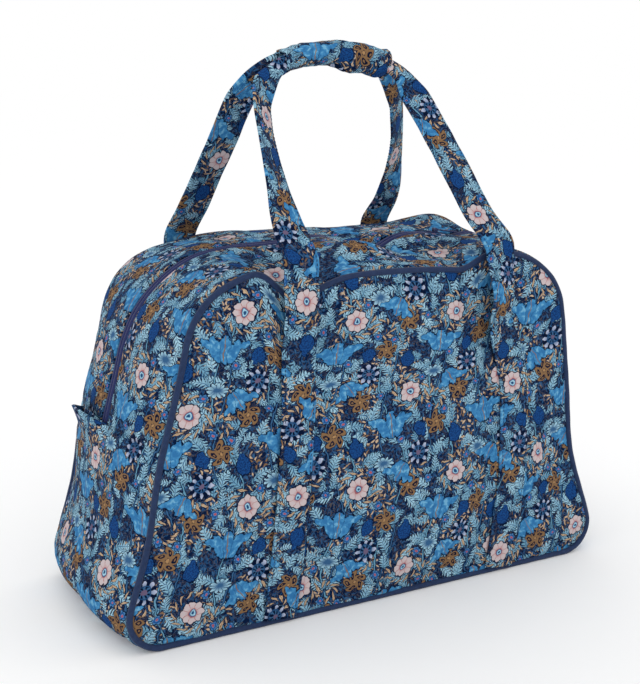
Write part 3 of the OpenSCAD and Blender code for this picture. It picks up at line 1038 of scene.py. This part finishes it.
# How far each leg turns out of its plane just above the fold, and how much more it turns higher up.
TWISTS = {(-1, -1): (0.45, 0.45), (-1, 1): (0, 0), (1, -1): (-0.10, 0), (1, 1): (-0.35, -0.65)}
# How far the strap stands off at the piping, and the one leg that comes loose lower down.
CLEARANCES = {(-1, -1): 9 * mm, (-1, 1): 13 * mm, (1, -1): 7 * mm, (1, 1): 7 * mm}
LOOSE_LEG = (-1, 1)


def on_lean(x, up):
    """A point of the front handle's leaning plane."""
    y = -fold_y + up * mm * lean_in + strap_mid * lean_up
    return x * mm, y, fold_z + up * mm * lean_up - strap_mid * lean_in


def leg_path(side, hand):
    """One leg up the front panel and over the piping to the grip; the back's is mirrored later."""
    loose = (side, hand) == LOOSE_LEG
    path = []
    for z in (5, 45, 90, 135, 175, 198) if loose else (5, 45, 90, 135, 180, 222):
        x = float(strap_line(side, hand, z * mm))
        bulge = float(panel_bulge(np.array(x), np.array(z * mm)))
        path.append((x, -(half_d - piping_r + strap_t / 2 + 0.6 * mm + bulge), z * mm))
    top_x = float(strap_line(side, hand, 0.26))
    if loose:
        path.append((top_x, -(half_d + 10 * mm), 232 * mm))
    path.append((top_x, -(half_d + CLEARANCES[side, hand]), 257 * mm))
    path.append((top_x * 0.995, -(fold_y + 2.6 * mm), 285 * mm))
    path.append((top_x * 0.985, -fold_y - 0.2 * mm, 301 * mm))
    return path + [on_lean(hand * x, up) for x, up in LEGS[side, hand]]


def handle_normals(side, path):
    """Which way the strap's face looks along the path, with each leg's twist."""
    height = path[:, 2]
    leaning = ramp(height, fold_z - 12 * mm, fold_z + 14 * mm)[:, None]
    flat_normal = np.array([0, side, 0.0])
    lean_normal = np.array([0, side * lean_up, lean_in])
    normals = flat_normal * (1 - leaning) + lean_normal * leaning
    free = ramp(height, fold_z, fold_z + 60 * mm) * (1 - ramp(height, grip_z - 40 * mm, grip_z))
    higher = ramp(height, fold_z + 20 * mm, fold_z + 100 * mm)
    left, right = (low + more * higher for low, more in (TWISTS[side, -1], TWISTS[side, 1]))
    twist = free * np.where(path[:, 0] < 0, left, right)
    if side == LOOSE_LEG[0]:
        twist = twist + 0.4 * bump(height, 250 * mm, 30 * mm) * (path[:, 0] > 0)
    return unit(normals + np.stack([twist, 0 * twist, 0 * twist], axis=1))


def make_handle(side, word):
    """One handle with its sewn legs, gathered where the wrap holds it, and its edge stitching."""
    gathered_half_w = 6.0 * mm
    gathered_half_t = 3.8 * mm
    path = smooth_path(leg_path(side, 1) + leg_path(side, -1)[::-1], 3.6 * mm)
    path[:, 1] *= -side
    height = path[:, 2]
    normals = handle_normals(side, path)
    gather = ramp(height, grip_z - 38 * mm, grip_z - 8 * mm)
    fluff = np.array([noise.noise(Vector(p * 60)) for p in path])
    half_widths = strap_w / 2 + (gathered_half_w - strap_w / 2) * gather
    half_thicks = strap_t / 2 + (gathered_half_t - strap_t / 2) * gather
    half_thicks = half_thicks * (1 + 0.18 * fluff)
    half_widths = half_widths * (1 + 0.03 * fluff)
    shift = (0.020, 0.013) if side < 0 else (0.061, 0.047)
    piece = strap_piece(f"{word}_handle_cloth", path, normals, half_widths, half_thicks, shift)
    fold_start = (0, side * fold_y, fold_z - 10 * mm)
    fold_end = (0, side * fold_y, fold_z + 12 * mm)
    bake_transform(piece)
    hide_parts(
        f"{word}_strap_left", f"{word}_strap_right", f"{word}_handle", f"{word}_handle_webbing")
    _, across = square_to(path, normals)
    runs, outs = [], []
    for edge in (-1, 1):
        inset = edge * (half_widths - 2.6 * mm)
        line = path + across * inset[:, None] + normals * (half_thicks * 0.93)[:, None]
        for hand in (-1, 1):
            part = (np.sign(path[:, 0]) == hand) & (height < grip_z - 30 * mm)
            runs.append(line[part])
            outs.append(normals[part])
    stitches = stitch_piece(f"{word}_handle_stitching", runs, outs)
    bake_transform(stitches)


for side, word in SIDES:
    make_handle(side, word)

# ---- wrap round the grips

wrap_low, wrap_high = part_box("wrap_flap")
wrap_half = (wrap_high[0] - wrap_low[0]) / 2


def grip_height(x):
    """Height of the grips' middle line, as the front handle's right leg ends in it."""
    shape = np.array(LEGS[-1, 1][::-1], float)
    up = np.interp(np.abs(x) / mm, shape[:, 0], shape[:, 1])
    return fold_z + up * mm * lean_up - strap_mid * lean_in


def wrap_ring(x, angle, lift, overlap):
    """One line of the wrap along x, at an angle round the grips from the front, over the top."""
    a = math.radians(angle)
    crease = np.array([noise.noise(Vector((v * 70, angle * 0.02, 3.0))) for v in x])
    fine = np.array([noise.noise(Vector((v * 210, angle * 0.05 + v * 60, 8.0))) for v in x])
    loosened = overlap * ramp(angle, -98, -72) * (1 - ramp(angle, 45, 88))
    second = loosened * ramp(x - 14 * mm * math.cos(a), -6 * mm, -3.5 * mm)
    sagging_part = ramp(x, -6 * mm, 16 * mm) * (1 - ramp(x, 34 * mm, 50 * mm))
    hang = overlap * ramp(angle, -112, -72) * sagging_part
    cuff = 0.45 * max(0, math.sin(a)) - 0.14
    left_end = ramp(-x, wrap_half - 9 * mm, wrap_half)
    rolled = 1 + cuff * ramp(x, wrap_half - 8 * mm, wrap_half) + 0.10 * left_end
    loose = lift + second * 2.4 * mm + crease * 1.1 * mm + fine * 0.5 * mm
    half_y = (15.2 * mm + loose) * rolled
    half_z = (8.2 * mm + loose) * rolled
    y = -half_y * math.copysign(abs(math.cos(a)) ** 0.85, math.cos(a))
    z = half_z * math.copysign(abs(math.sin(a)) ** 0.9, math.sin(a))
    z = z - hang * 3.8 * mm * ramp(-math.sin(a), 0.1, 1.0)
    return np.stack([x, y, grip_height(x) + z + 0.9 * mm], axis=1)


def wrap_cloth(name, start, end, lift, overlap, shift):
    """Cloth round the two grips from angle start to end; overlap is 1 for a loose, doubled edge."""
    x = np.linspace(-wrap_half, wrap_half, 60)
    points = np.stack([wrap_ring(x, angle, lift, overlap) for angle in np.linspace(start, end, 44)])
    length = math.radians(end - start) * 13 * mm
    v = np.linspace(0, length, len(points))
    uvs = uv_grid(x[None, :] + shift[0], v[:, None] + shift[1])
    piece = grid_piece(name, points, uvs, [printed])
    thicken(piece, 1.4 * mm)
    return piece


wrap_base = wrap_cloth("wrap_base_cloth", 80, 290, 0, 0, (0.03, 0.02))
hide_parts("wrap_base")
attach(wrap_base, "back_handle")
wrap_flap = wrap_cloth("wrap_flap_cloth", -96, 96, 1.5 * mm, 1, (0.07, 0.052))
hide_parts("wrap_flap")
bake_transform(wrap_flap)

# ---- zip end tabs


def end_tab(side, word):
    """A folded lip over the zip's end: flush at its foot, its upper edge standing off the side."""
    height = 30 * mm
    stand_off = 15 * mm
    low_y, high_y = -16 * mm, 52 * mm
    y = np.linspace(low_y, high_y, 35)
    away = ramp(y, -18 * mm, 34 * mm) * (1 - 0.75 * ramp(y, 38 * mm, high_y))
    tuck = 1.6 * mm * (1 - ramp(y, low_y, -10 * mm) * (1 - ramp(y, 45 * mm, high_y)))
    rows, places = [], np.linspace(0, 1, 16)
    for up in places:
        t = side * (zip_end_t + height * (1 - up) - 4 * mm * away * up)
        stand = -1.0 * mm + 2.2 * mm * min(1, up * 3) - tuck + stand_off * up**1.7 * away
        rows.append(gusset_point(t, y, -stand))
    points = np.stack(rows, axis=0)
    v = zip_end_t + height * (1 - places)
    uvs = uv_grid(0.012 - y[None, :], 0.03 + side * v[:, None])
    piece = grid_piece(f"zip_end_tab_{word}_cloth", points[:, ::-side], uvs[:, ::-side], [printed])
    thicken(piece, 1.8 * mm)
    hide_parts(f"zip_end_tab_{word}")
    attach(piece, "bag")


end_tab(-1, "left")
end_tab(1, "right")

# ---- CAD parts that stay

for node, material in (
    ("zip_slider", zinc), ("zip_pull", zinc), ("zip_end_stops", tape_cloth), ("base_board", board),
    ("wrap_hook_patch", hook_tape), ("wrap_loop_patch", hook_tape),
):
    part = frame["nodes"][node]
    part.data.materials.clear()
    part.data.materials.append(material)

# ---- stage, light and camera

material, tree, shader = blank_material("pale_floor")
set_surface(
    tree, shader, [0.94, 0.94, 0.94],
    Roughness=0.95, Specular_IOR_Level=0.0, Emission_Color=(1, 1, 1, 1), Emission_Strength=0.06,
)
bpy.ops.mesh.primitive_plane_add(size=80, location=(0, 0, 0))
floor = bpy.context.object
floor.name = "floor"
floor.data.materials.append(material)

world = bpy.data.worlds.new("studio")
scene.world = world
world.use_nodes = True
background = world.node_tree.nodes["Background"]
background.inputs["Color"].default_value = (1, 1, 1, 1)
background.inputs["Strength"].default_value = 1.0


def aim(name, data, place, target):
    """Puts a light or camera at a place, looking at a target."""
    holder = bpy.data.objects.new(name, data)
    holder.location = place
    holder.rotation_euler = (Vector(target) - holder.location).to_track_quat("-Z", "Y").to_euler()
    scene.collection.objects.link(holder)
    return holder


softbox = bpy.data.lights.new("key", "AREA")
softbox.size = 1.2
softbox.energy = 7
aim("key", softbox, (-1.2, -1.7, 2.1), (0, 0, 0.2))

lens = bpy.data.cameras.new("camera")
lens.lens = 62.3
lens.sensor_width = 36
scene.camera = aim("camera", lens, (-0.504, -0.895, 0.430), (-0.010, 0, 0.208))
scene.view_settings.view_transform = "Standard"
